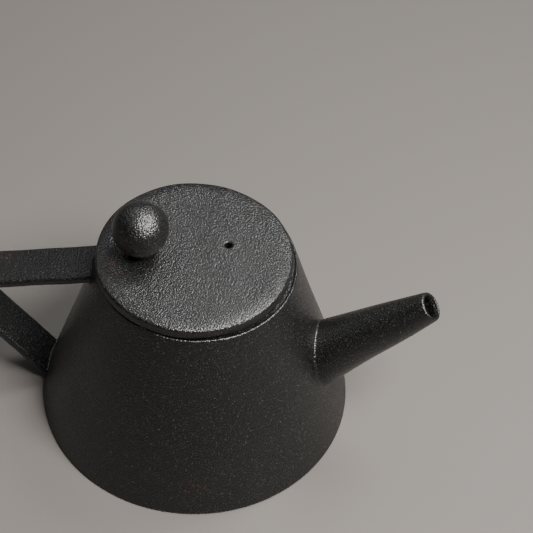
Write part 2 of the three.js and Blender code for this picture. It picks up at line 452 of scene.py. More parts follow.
def revolve(outline: Array, columns: int) -> Array:
    """Turns an outline about +Z: x = r cos a, y = r sin a, z = z, with a in equal steps.

    Args:
        outline: radius and height of each row.
        columns: the number of steps round.

    Returns:
        Positions, rows by columns.
    """
    turn = TAU * np.arange(columns) / columns
    radius, height = outline[:, 0, None], outline[:, 1, None]
    return np.stack([radius * np.cos(turn), radius * np.sin(turn), height + 0 * turn], axis=-1)


def bezier(start: Array, corner: Array, end: Array, steps: int) -> Array:
    """Rows of quadratic curves that leave start towards corner and reach end from it.

    Each row is (1 - t)^2 start + 2 t (1 - t) corner + t^2 end, with t from 0 to 1 in equal steps.

    Args:
        start: where the curves start.
        corner: where their end directions cross.
        end: where they end.
        steps: the number of steps in t.

    Returns:
        The rows, the first one at start.
    """
    t = np.linspace(0, 1, steps + 1)[:, None, None]
    return (1 - t) ** 2 * start + 2 * t * (1 - t) * corner + t**2 * end


@dataclass(frozen=True)
class CastingDrift:
    """The slow unevenness of a casting: long waves that run through space move every point.

    The move at p is amplitude times the sum over waves of direction * sin(2 pi wave . p + phase),
    divided by the root of their number, so pieces that touch move together. It fades to nothing at
    the ground, where the pot stands flat.
    """

    amplitude: float = 0.22 * MM
    longest: float = 46 * MM
    shortest: float = 17 * MM
    waves: int = 14
    ground: float = 6 * MM
    seed: int = 7

    def __call__(self, points: Array) -> Array:
        """The points after their move."""
        draw = np.random.default_rng(self.seed)
        way = draw.normal(size=(self.waves, 3))
        way /= np.linalg.norm(way, axis=1, keepdims=True)
        length = draw.uniform(self.shortest, self.longest, self.waves)
        phase = draw.uniform(0, TAU, self.waves)
        push = draw.normal(size=(self.waves, 3))
        push /= np.linalg.norm(push, axis=1, keepdims=True)
        swing = np.sin(TAU * (points @ (way / length[:, None]).T) + phase)
        share = np.clip(points[..., 2:] / self.ground, 0, 1)
        return points + self.amplitude * share * (swing @ push) / math.sqrt(self.waves)


def block_loop(rows: tuple[int, int], columns: tuple[int, int]) -> tuple[Array, Array]:
    """The row and column of each lattice point round a block, going round it once.

    Args:
        rows: the block's first and last row.
        columns: its first and last column.

    Returns:
        The rows and the columns.
    """
    (top, bottom), (left, right) = rows, columns
    across = np.arange(left, right)
    down = np.arange(top, bottom)
    row = np.concatenate([0 * across + top, down, 0 * across + bottom, down[::-1] + 1])
    column = np.concatenate([across, 0 * down + right, across[::-1] + 1, 0 * down + left])
    return row, column


def block_cells(shape: tuple[int, int], blocks: Sequence[tuple[int, int]],
                sides: tuple[int, int]) -> Array:
    """Marks blocks of cells in a lattice whose last column joins the first.

    Args:
        shape: the lattice's rows and columns.
        blocks: each block's first and last row.
        sides: the first and last column of all the blocks. The first may be below 0.

    Returns:
        A mask of rows - 1 by columns.
    """
    row = np.arange(shape[0] - 1)[:, None]
    beside = (np.arange(shape[1]) - sides[0]) % shape[1] < sides[1] - sides[0]
    return np.logical_or.reduce([beside & (row >= first) & (row < last) for first, last in blocks])


def open_out(chart: Array, loop: Array, centre: Array, rim: Callable[[Array], Array],
             reach: float) -> Array:
    """Pushes flat points away from a centre, until a loop of them lies on a round rim.

    A point in direction a from the centre, d away, goes to rim(a) + (reach - rim(a)) s, where s is
    0 on the loop and 1 at reach. Points further off stay where they are.

    Args:
        chart: the points, with their two coordinates last.
        loop: the loop's points, which go round the centre once.
        centre: the hole's centre.
        rim: the rim's distance from the centre in each direction.
        reach: how far the push is felt.

    Returns:
        The moved points.
    """
    away = chart - centre
    distance = np.maximum(np.linalg.norm(away, axis=-1), 1e-9)
    angle = np.arctan2(away[..., 1], away[..., 0])
    from_centre = loop - centre
    loop_angle = np.arctan2(from_centre[:, 1], from_centre[:, 0])
    loop_distance = np.linalg.norm(from_centre, axis=1)
    inner = np.interp(angle, loop_angle, loop_distance, period=TAU)
    share = np.clip((distance - inner) / (reach - inner), 0, 1)
    edge = rim(angle)
    moved = np.where(distance < reach, edge + (reach - edge) * share, distance)
    return centre + away * (moved / distance)[..., None]


@dataclass(frozen=True)
class Cone:
    """The pot's outside or inside wall: radius = foot - slope * height.

    Lines that cross it are searched for as far as reach either way, and the search is halved
    halvings times.
    """

    foot: float
    slope: float
    reach: float = 75 * MM
    halvings: int = 46

    def radius(self, height: Array | float) -> Array | float:
        """The radius at a height."""
        return self.foot - self.slope * height

    def meet(self, start: Array, way: Array) -> Array:
        """Where straight lines cross the wall, found by halving.

        Args:
            start: a point of each line, within reach of the wall.
            way: each line's direction, pointing away from the pot's axis.

        Returns:
            The distance along each line, in lengths of way.
        """
        low = np.full(start.shape[:-1], -self.reach)
        high = -low
        for _ in range(self.halvings):
            middle = (low + high) / 2
            point = start + middle[..., None] * way
            inside = np.hypot(point[..., 0], point[..., 1]) < self.radius(point[..., 2])
            low = np.where(inside, middle, low)
            high = np.where(inside, high, middle)
        return (low + high) / 2

    def normal(self, point: Array) -> Array:
        """The outward normal at points of the wall."""
        flat = point[..., :2] / np.linalg.norm(point[..., :2], axis=-1, keepdims=True)
        made = np.concatenate([flat, np.full(flat.shape[:-1] + (1,), self.slope)], axis=-1)
        return made / math.hypot(1, self.slope)

    def unroll(self, point: Array) -> Array:
        """Arc length round the wall from +X, and slant height, of points near +X."""
        turn = np.arctan2(point[..., 1], point[..., 0])
        arc = turn * self.radius(point[..., 2])
        return np.stack([arc, point[..., 2] * math.hypot(1, self.slope)], axis=-1)

    def roll(self, chart: Array) -> Array:
        """The points of the wall that unroll() gives these flat points for."""
        height = chart[..., 1] / math.hypot(1, self.slope)
        radius = self.radius(height)
        turn = chart[..., 0] / radius
        return np.stack([radius * np.cos(turn), radius * np.sin(turn), height], axis=-1)

    def weld(self, last: Array, corner: Array, outward: Array, width: float,
             steps: int) -> tuple[Array, Array, Array]:
        """Curves from a piece's side to the wall, ending a hair inside it.

        Args:
            last: where the curves leave the side.
            corner: where the side would meet the wall.
            outward: directions away from the piece's middle, which are laid flat on the wall.
            width: how far out from the corner the curves end.
            steps: the curves' rows.

        Returns:
            The rows, their end points and the wall's normals there.
        """
        normal = self.normal(corner)
        flat = outward - (outward * normal).sum(-1, keepdims=True) * normal
        flat /= np.linalg.norm(flat, axis=-1, keepdims=True)
        sunk = corner + width * flat - HAIR * normal
        return bezier(last, corner, sunk, steps)[1:], sunk, normal


def put(surface: Surface, name: str, body: Body, slot: Slot, finish: bpy.types.Material,
        *nodes: str) -> bpy.types.Object:
    """Makes a finished piece that stands for CAD nodes.

    Args:
        surface: its mesh.
        name: its name.
        body: the CAD body that it rides on.
        slot: the record's material slot. It is not used.
        finish: its material.
        nodes: the CAD nodes that it replaces.

    Returns:
        The object.
    """
    made = surface.piece(name)
    made.data.materials.append(finish)
    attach(made, body.value)
    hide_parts(*nodes)
    log.info("%s: %d faces on body %s, for %s", name, len(made.data.polygons), body.value, nodes)
    return made


# ---- Pot -----------------------------------------------------------------------------------------


@dataclass
class Spout:
    """The straight tapered tube, with its weld to the wall and its bore."""

    root: tuple[float, float] = (45.2 * MM, 31.1 * MM)
    root_radius: float = 10.8 * MM
    tip_radius: float = 5.1 * MM
    root_bore: float = 8.2 * MM
    tip_bore: float = 3.4 * MM
    tip: tuple[float, float] = (78.7 * MM, 63.1 * MM)
    mouth_radius: float = 4.15 * MM
    mouth_depth: float = 1.7 * MM
    throat: float = 0.9 * MM
    inner_lip: float = 0.3 * MM
    outer_lip: float = 0.7 * MM
    weld: float = 1.1 * MM
    sink: float = 0.35 * MM
    tuck: float = 0.2 * MM
    bore_play: float = 0.12 * MM
    rows: int = 41
    columns: int = 128
    rim_points: int = 360

    def __post_init__(self) -> None:
        """Works out the axis and the two directions across it."""
        run = np.array([self.tip[0] - self.root[0], self.tip[1] - self.root[1]])
        self.length = float(np.linalg.norm(run))
        rise = run / self.length
        self.start = np.array([self.root[0], 0.0, self.root[1]])
        self.axis = np.array([rise[0], 0.0, rise[1]])
        self.across = np.array([rise[1], 0.0, -rise[0]])
        self.side = np.array([0.0, 1.0, 0.0])

    def around(self, turn: Array) -> Array:
        """The direction from the axis to the tube's side at each angle round it."""
        return np.cos(turn)[:, None] * self.across + np.sin(turn)[:, None] * self.side

    def rulings(self, at_root: float, at_tip: float, turn: Array) -> tuple[Array, Array]:
        """Points and directions of a cone's lines, from its radii at the axis's two ends."""
        out = self.around(turn)
        return self.start + at_root * out, self.axis + (at_tip - at_root) / self.length * out

    def bore_rim(self, wall: Cone) -> tuple[Array, Array]:
        """The curve where the bore comes through a wall, unrolled.

        Args:
            wall: the wall's outside or inside.

        Returns:
            The curve's centre and its points.
        """
        turn = TAU * np.arange(self.rim_points) / self.rim_points
        start, way = self.rulings(self.root_bore + self.bore_play, self.tip_bore, turn)
        curve = wall.unroll(start + wall.meet(start, way)[:, None] * way)
        return (curve.min(0) + curve.max(0)) / 2, curve

    def lip(self) -> Array:
        """Radius and distance along the axis of the rings from the throat to the outside.

        The bore bends at the throat, flares in a straight line to the lip, and turns over it. An
        arc's directions are those of the surface at its ends: the bore's is 180 degrees plus the
        angle that it narrows by, and the flare's is 90 degrees plus the flare's own angle.
        """
        narrowing = (self.root_bore - self.tip_bore) / self.length
        height = self.length - self.mouth_depth
        radius = self.tip_bore + narrowing * self.mouth_depth
        flare = math.atan2(self.mouth_depth, self.mouth_radius - radius)
        facing = 90 + math.degrees(flare)
        path = Outline(radius, height)
        path.arc(self.throat, 180 + math.degrees(math.atan(narrowing)), facing, 5)
        radius, height = path.points()[-1]
        edge = self.length - self.inner_lip * (1 - math.sin(math.radians(facing)))
        path.line(radius + (edge - height) / math.tan(flare), edge, 4)
        path.arc(self.inner_lip, facing, 90, 5).line(self.tip_radius - self.outer_lip, self.length)
        return path.arc(self.outer_lip, 90, 0, 7).points()

    def build(self, wall: Cone) -> Surface:
        """Bore, lip, outside and weld as one grid round the axis, closed behind the weld.

        On a straight stretch a row is start + t * way along the rulings. The lip's rows are rings
        round the axis. The weld is a curve from the tube's side to the wall, whose corner is where
        the two meet.
        """
        turn = TAU * np.arange(self.columns) / self.columns
        share = np.linspace(0, 1, self.rows)[:, None]
        start, way = self.rulings(self.root_bore, self.tip_bore, turn)
        first = wall.meet(start, way) - self.sink
        along = first + share * (self.length - self.mouth_depth - first)
        bore = start + along[..., None] * way
        radius, height = self.lip()[1:].T[:, :, None]
        rings = self.start + height[..., None] * self.axis + radius[..., None] * self.around(turn)
        start, way = self.rulings(self.root_radius, self.tip_radius, turn)
        foot = wall.meet(start, way)
        last = self.length - self.outer_lip
        along = last + share[1:] * (foot + self.weld - last)
        outside = start + along[..., None] * way
        corner = start + foot[:, None] * way
        weld, sunk, normal = wall.weld(outside[-1], corner, self.around(turn), self.weld, 7)
        under = sunk - (self.sink + self.tuck) * normal
        made = Surface()
        rows = np.concatenate([bore, rings, outside, weld, under[None]])
        lattice = made.add(CastingDrift()(rows))
        made.quads(np.concatenate([lattice, lattice[:1]])[:, ::-1])
        return made


@dataclass
class Strap:
    """The handle: one flat strap folded to a point, with both ends welded to the wall."""

    thickness: float = 3.1 * MM
    root_width: float = 15.5 * MM
    point_width: float = 15.9 * MM
    upper_root: tuple[float, float] = (34 * MM, 58.8 * MM)
    point: tuple[float, float] = (82.8 * MM, 43.8 * MM)
    lower_root: tuple[float, float] = (49.6 * MM, 1.2 * MM)
    fold: float = 1.6 * MM
    edge: float = 1.3 * MM
    weld: float = 0.9 * MM
    tuck: float = 0.8 * MM
    fold_rows: int = 25
    bar_rows: int = 31
    probe: float = 10 * MM

    def section(self) -> tuple[Array, Array]:
        """The strap's rounded rectangle at the root's width.

        Returns:
            Each point's distance out from the inner face, and across from the middle.
        """
        half, edge, thick = self.root_width / 2, self.edge, self.thickness
        path = Outline(-half + edge, 0).line(half - edge, 0, 14).arc(edge, -90, 0, 6)
        path.line(half, thick - edge, 2).arc(edge, 0, 90, 6).line(-half + edge, thick, 14)
        path.arc(edge, 90, 180, 6).line(-half, edge, 2).arc(edge, 180, 270, 6)
        across, out = path.points()[:-1].T
        return out, across

    def build(self, wall: Cone) -> Surface:
        """The section carried along the upper bar, the fold and the lower bar.

        The fold's rows turn about its centre by equal angles. A bar's rows go straight from the
        fold to the weld, along lines whose lead is found by probing a little way along the bar.
        """
        up, down = (np.array(r) - np.array(self.point) for r in (self.upper_root, self.lower_root))
        up, down = up / np.linalg.norm(up), down / np.linalg.norm(down)
        half = math.acos(float(up @ down)) / 2
        inward = (up + down) / np.linalg.norm(up + down)
        centre = np.array(self.point) + inward * self.fold / math.sin(half)
        upper_out, lower_out = np.array([up[1], -up[0]]), np.array([-down[1], down[0]])
        begin = math.atan2(upper_out[1], upper_out[0])
        finish = math.atan2(lower_out[1], lower_out[0])
        out, across = self.section()

        def widened(away: Array) -> Array:
            """Share of the root's width at a distance from the pot's axis."""
            share = (away - self.upper_root[0]) / (self.point[0] - self.upper_root[0])
            return 1 + (self.point_width / self.root_width - 1) * share

        def placed(away: Array, height: Array) -> Array:
            """Section points at distances from the axis and heights, on the -X side."""
            return np.stack([-away, across * widened(away), height], axis=-1)

        turn = np.linspace(begin, finish, self.fold_rows)[:, None]
        radius = self.fold + out
        fold = placed(centre[0] + radius * np.cos(turn), centre[1] + radius * np.sin(turn))

        def bar(first: Array, way: Array, side: Array) -> tuple[Array, Array]:
            """Rows from the fold to the wall, and the weld's rows with the tucked end last."""
            far = centre + radius[:, None] * side + self.probe * way
            lead = (placed(*far.T) - first) / self.probe
            foot = wall.meet(first, -lead)
            share = np.linspace(0, 1, self.bar_rows)[1:, None, None]
            straight = first - share * (foot + self.weld)[:, None] * lead
            corner = first - foot[:, None] * lead
            outward = corner - corner.mean(0)
            weld, sunk, normal = wall.weld(straight[-1], corner, outward, self.weld, 6)
            return np.concatenate([straight, weld]), sunk - self.tuck * normal

        upper, upper_end = bar(fold[0], up, upper_out)
        lower, lower_end = bar(fold[-1], down, lower_out)
        rows = np.concatenate([upper_end[None], upper[::-1], fold, lower, lower_end[None]])
        made = Surface()
        drift = CastingDrift()
        lattice = made.add(drift(rows))[:, ::-1]
        made.quads(lattice)
        made.cap(lattice, drift(np.stack([upper_end.mean(0), lower_end.mean(0)])))
        return made


@dataclass
class Pot:
    """The hollow cone that the spout and the handle are cast with."""

    foot_edge: float = 0.8 * MM
    rim_radius: float = 33.3 * MM
    rim_edge: float = 0.45 * MM
    wall: float = 3.4 * MM
    floor: float = 4.5 * MM
    inside_corner: float = 6 * MM
    ring: float = 44 * MM
    pad: float = 14 * MM
    recess: float = 0.8 * MM
    seat: float = 32.3 * MM
    seat_depth: float = 0.45 * MM
    ledge: float = 30.6 * MM
    ledge_depth: float = 1.1 * MM
    mouth: float = 28.2 * MM
    mouth_depth: float = 4.5 * MM
    mouth_slope: float = 3 * MM
    soft: float = 0.3 * MM
    lip_end: float = 140
    columns: int = 240
    wall_rows: int = 46
    inside_rows: int = 38
    hole_rows: int = 5
    hole_columns: int = 5
    hole_reach: float = 17 * MM
    spout: Spout = field(default_factory=Spout)
    strap: Strap = field(default_factory=Strap)

    def __post_init__(self) -> None:
        """Takes the cone's foot and height from the frame."""
        _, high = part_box("pot_body")
        self.foot_radius = high.x
        self.height = high.z
        slope = (self.foot_radius - self.rim_radius) / (self.height - self.foot_edge)
        self.outside = Cone(self.foot_radius + slope * self.foot_edge, slope)
        self.inside = Cone(self.outside.foot - self.wall, slope)

    def outline(self) -> tuple[Array, tuple[int, int], tuple[int, int]]:
        """The turned outline, from the middle of the underside to the middle of the inside floor.

        Returns:
            The points, and the first and last row of the outside wall and of the inside wall.
        """
        edge, rim, soft = self.foot_edge, self.rim_edge, self.soft
        lean = math.degrees(math.atan(self.outside.slope))
        path = Outline(HUB, 0).line(self.pad, 0, 4)
        path.line(self.pad + self.recess, self.recess, 2)
        path.line(self.ring - self.recess, self.recess, 10).line(self.ring, 0, 2)
        path.line(self.foot_radius - edge, 0, 4).arc(edge, -90, lean, 8)
        wall_first = len(path.points()) - 1
        top = self.height - rim
        path.line(float(self.outside.radius(top)), top, self.wall_rows)
        wall_last = len(path.points()) - 1
        path.arc(rim, lean, self.lip_end, 8)
        seat, ledge = self.height - self.seat_depth, self.height - self.ledge_depth
        path.line(self.seat, seat).line(self.ledge + soft, seat, 2).arc(soft, 90, 180, 4)
        path.line(self.ledge, ledge).line(self.mouth + soft, ledge, 2).arc(soft, 90, 180, 4)
        below = ledge - self.mouth_depth
        path.line(self.mouth, below, 3)
        below -= self.mouth_slope
        path.line(float(self.inside.radius(below)), below, 4)
        inner_first = len(path.points()) - 1
        corner = self.floor + self.inside_corner * (1 + math.sin(math.radians(lean)))
        path.line(float(self.inside.radius(corner)), corner, self.inside_rows)
        inner_last = len(path.points()) - 1
        path.arc(self.inside_corner, lean, -90, 10).line(HUB, self.floor, 14)
        return path.points(), (wall_first, wall_last), (inner_first, inner_last)

    def pierce(self, grid: Array, rows: tuple[int, int],
               wall: Cone) -> tuple[tuple[int, int], Array]:
        """Opens a wall's grid round the spout's bore.

        Args:
            grid: the turned grid, whose +X column is column 0. It is changed.
            rows: the wall's first and last row.
            wall: the wall's cone.

        Returns:
            The block's first and last row, and the loop's rows and columns.
        """
        centre, curve = self.spout.bore_rim(wall)
        flat = wall.unroll(grid[rows[0]:rows[1] + 1, 0])
        middle = rows[0] + int(np.argmin(np.abs(flat[:, 1] - centre[1])))
        block = (middle - self.hole_rows, middle + self.hole_rows)
        loop_row, loop_column = block_loop(block, (-self.hole_columns, self.hole_columns))
        near = slice(rows[0] + 1, rows[1])
        chart = wall.unroll(grid[near])
        from_centre = curve - centre
        angle = np.arctan2(from_centre[:, 1], from_centre[:, 0])
        distance = np.linalg.norm(from_centre, axis=1)

        def rim(way: Array) -> Array:
            """The bore's distance from the hole's centre in each direction."""
            return np.interp(way, angle, distance, period=TAU)

        loop = wall.unroll(grid[loop_row, loop_column])
        grid[near] = wall.roll(open_out(chart, loop, centre, rim, self.hole_reach))
        return block, np.stack([loop_row, loop_column])

    def body(self) -> Surface:
        """The turned outline, with the spout's bore through the wall."""
        outline, outer_rows, inner_rows = self.outline()
        grid = revolve(outline, self.columns)
        outer_block, outer_loop = self.pierce(grid, outer_rows, self.outside)
        inner_block, inner_loop = self.pierce(grid, inner_rows, self.inside)
        drift = CastingDrift()
        made = Surface()
        lattice = made.add(drift(grid))
        sides = (-self.hole_columns, self.hole_columns)
        made.quads(lattice, skip=block_cells(lattice.shape, (outer_block, inner_block), sides))
        made.cap(lattice, drift(np.array([[0.0, 0.0, outline[end, 1]] for end in (0, -1)])))
        self.tunnel(made, lattice, (outer_loop, inner_loop))
        return made

    def tunnel(self, made: Surface, lattice: Array, loops: tuple[Array, Array]) -> None:
        """Joins the holes in the two walls with straight quads, in order round the spout's axis.

        Args:
            made: the body's surface.
            lattice: its point numbers.
            loops: rows and columns of the outside hole's loop and of the inside hole's.
        """
        points = np.concatenate(made.points)
        ordered = []
        for row, column in loops:
            loop = lattice[row, column]
            away = points[loop] - self.spout.start
            turn = np.arctan2(away @ self.spout.side, away @ self.spout.across)
            ordered.append(loop[np.argsort(turn)])
        made.quads(np.stack(ordered))

    def make(self, finish: bpy.types.Material) -> None:
        """Builds the body, the spout and the handle and dresses them in cast iron."""
        for surface, name, node in (
            (self.body(), "body_casting", "pot_body"),
            (self.spout.build(self.outside), "spout_casting", "spout"),
            (self.strap.build(self.outside), "handle_casting", "handle"),
        ):
            put(surface, name, Body.POT, Slot.CAST_IRON, finish, node)


# ---- Lid -----------------------------------------------------------------------------------------


@dataclass
class Lid:
    """The flat lid with its steam vent and locating ring, and the ball knob on it."""

    play: float = -1.1 * MM
    turn: float = math.radians(6)
    plate: float = 4.2 * MM
    top_edge: float = 1.2 * MM
    crown: float = 20 * MM
    crown_tilt: float = 12
    foot: float = 0.45 * MM
    ring_radius: float = 24.2 * MM
    ring_wall: float = 2.2 * MM
    ring_depth: float = 6.5 * MM
    soft: float = 0.4 * MM
    vent_radius: float = 1.2 * MM
    vent_edge: float = 0.75 * MM
    vent_reach: float = 12 * MM
    vent_angle: float = math.radians(22)
    vent_rows: int = 2
    vent_columns: int = 3
    vent_spread: float = 5 * MM
    knob_reach: float = 17.7 * MM
    knob_radius: float = 9.25 * MM
    knob_centre: float = 9.9 * MM
    neck_radius: float = 4.2 * MM
    neck_gap: float = 0.1 * MM
    screw_hole: float = 2.2 * MM
    screw_depth: float = 7.2 * MM
    pole_angle: float = 88
    columns: int = 240
    knob_columns: int = 96
    row_step: float = 0.5 * MM

    def __post_init__(self) -> None:
        """Takes the lid's size and height from the frame."""
        low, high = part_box("lid")
        self.radius = (high.y - low.y) / 2
        self.top = high.z
        self.bottom = self.top - self.plate

    def place(self, points: Array) -> Array:
        """Turns points about the lid's own axis and moves them to where it lies."""
        c, s = math.cos(self.turn), math.sin(self.turn)
        x, y, z = np.moveaxis(points, -1, 0)
        return np.stack([c * x - s * y + self.play, s * x + c * y, z + self.bottom], axis=-1)

    def outline(self) -> tuple[Array, Array, Array]:
        """The turned outline, from the middle of the underside to the middle of the top.

        Returns:
            The points, and the rows of the underside and of the top that the vent goes through.
        """
        inner = self.ring_radius - self.ring_wall
        rows = round((inner - HUB) / self.row_step)
        path = Outline(HUB, 0).line(inner - self.soft, 0, rows)
        under = np.arange(rows + 1)
        path.line(inner, -self.soft, 1)
        path.line(inner, self.soft - self.ring_depth, 3).arc(self.soft, 180, 270, 4)
        path.line(self.ring_radius - self.soft, -self.ring_depth, 1).arc(self.soft, -90, 0, 4)
        path.line(self.ring_radius, -self.soft, 3).line(self.ring_radius + self.soft, 0, 1)
        path.line(self.radius - self.foot, 0, 4).arc(self.foot, -90, 0, 4)
        lean = math.radians(self.crown_tilt)
        drop = self.crown * (1 - math.cos(lean)) + self.top_edge * math.cos(lean)
        path.line(self.radius, self.plate - drop, 2).arc(self.top_edge, 0, 90 - self.crown_tilt, 9)
        path.arc(self.crown, 90 - self.crown_tilt, 90, 9)
        first = len(path.points()) - 1
        path.line(inner - self.soft, self.plate, 6).line(HUB, self.plate, rows)
        over = np.arange(len(path.points()) - 1, first, -1)[: rows + 1]
        return path.points(), under, over

    def build(self) -> Surface:
        """The turned plate, with the vent opened through it.

        Both faces have the same grid of radii and angles inside the ring, so the same block of
        cells opens out to the vent's circle above and below.
        """
        outline, under, over = self.outline()
        grid = revolve(outline, self.columns)
        row = round((self.vent_reach - HUB) / (outline[under[1], 0] - HUB))
        column = round(self.vent_angle / TAU * self.columns)
        way = np.array([math.cos(self.vent_angle), math.sin(self.vent_angle)])
        centre = self.vent_reach * way
        ends = np.array([row - self.vent_rows, row + self.vent_rows])
        sides = (column - self.vent_columns, column + self.vent_columns)
        loop_row, loop_column = block_loop(tuple(ends), sides)

        def rim(way: Array) -> Array:
            """The vent's radius with its rounded edge, the same in each direction."""
            return np.full(way.shape, self.vent_radius + self.vent_edge)

        for face in (under, over):
            flat = grid[face][..., :2]
            loop = grid[face[loop_row], loop_column, :2]
            grid[face, :, :2] = open_out(flat, loop, centre, rim, self.vent_spread)
        made = Surface()
        drift = CastingDrift()
        lattice = made.add(drift(self.place(grid)))
        blocks = [sorted(face[ends]) for face in (under, over)]
        made.quads(lattice, skip=block_cells(lattice.shape, blocks, sides))
        tips = np.array([[0.0, 0.0, outline[end, 1]] for end in (0, -1)])
        made.cap(lattice, drift(self.place(tips)))
        upper, lower = (lattice[face[loop_row], loop_column] for face in (over, under))
        rings = self.vent(grid[over[loop_row], loop_column, :2], centre)
        inner = made.add(drift(self.place(rings)))
        made.quads(np.concatenate([upper[None], inner, lower[None]])[:, ::-1])
        return made

    def vent(self, loop: Array, centre: Array) -> Array:
        """The vent's rings, whose radius and height follow its straight wall and rounded edges.

        Args:
            loop: the flat points of the rim round its mouth.
            centre: the vent's centre.

        Returns:
            The rings between the two rims, from the top down.
        """
        edge = self.vent_edge
        wall = Outline(self.vent_radius + edge, self.plate).arc(edge, 90, 180, 5)
        wall.line(self.vent_radius, edge, 6).arc(edge, 180, 270, 5)
        radius, height = wall.points()[1:-1].T[:, :, None]
        x, y = ((loop - centre) / np.linalg.norm(loop - centre, axis=1, keepdims=True)).T
        return np.stack([centre[0] + radius * x, centre[1] + radius * y, height + 0 * x], -1)

    def knob(self) -> Surface:
        """The ball and its neck, turned, with the blind hole for the screw."""
        neck = math.degrees(math.asin(self.neck_radius / self.knob_radius)) - 90
        low = self.knob_centre - math.cos(math.radians(neck + 90)) * self.knob_radius
        path = Outline(self.screw_hole, self.screw_depth).line(self.screw_hole, self.neck_gap, 6)
        path.line(self.neck_radius, self.neck_gap, 2).line(self.neck_radius, low, 2)
        path.arc(self.knob_radius, neck, self.pole_angle, 64)
        tips = np.array([[0, 0, self.screw_depth], [0, 0, self.knob_centre + self.knob_radius]])
        seat = np.array([-self.knob_reach, 0, self.plate])
        made = Surface()
        drift = CastingDrift()
        grid = revolve(path.points(), self.knob_columns) + seat
        lattice = made.add(drift(self.place(grid)))
        made.quads(lattice)
        made.cap(lattice, drift(self.place(tips + seat)))
        return made

    def make(self, iron: bpy.types.Material, zinc: bpy.types.Material) -> None:
        """Builds the lid and the knob in cast iron, and dresses the screw and washer in zinc."""
        put(self.build(), "lid_casting", Body.LID, Slot.CAST_IRON, iron, "lid")
        put(self.knob(), "ball_knob", Body.LID, Slot.CAST_IRON, iron, "lid_knob")
        for name in ("knob_washer", "knob_screw"):
            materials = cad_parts[name].data.materials
            materials.clear()
            materials.append(zinc)


# ---- Strainer basket -----------------------------------------------------------------------------


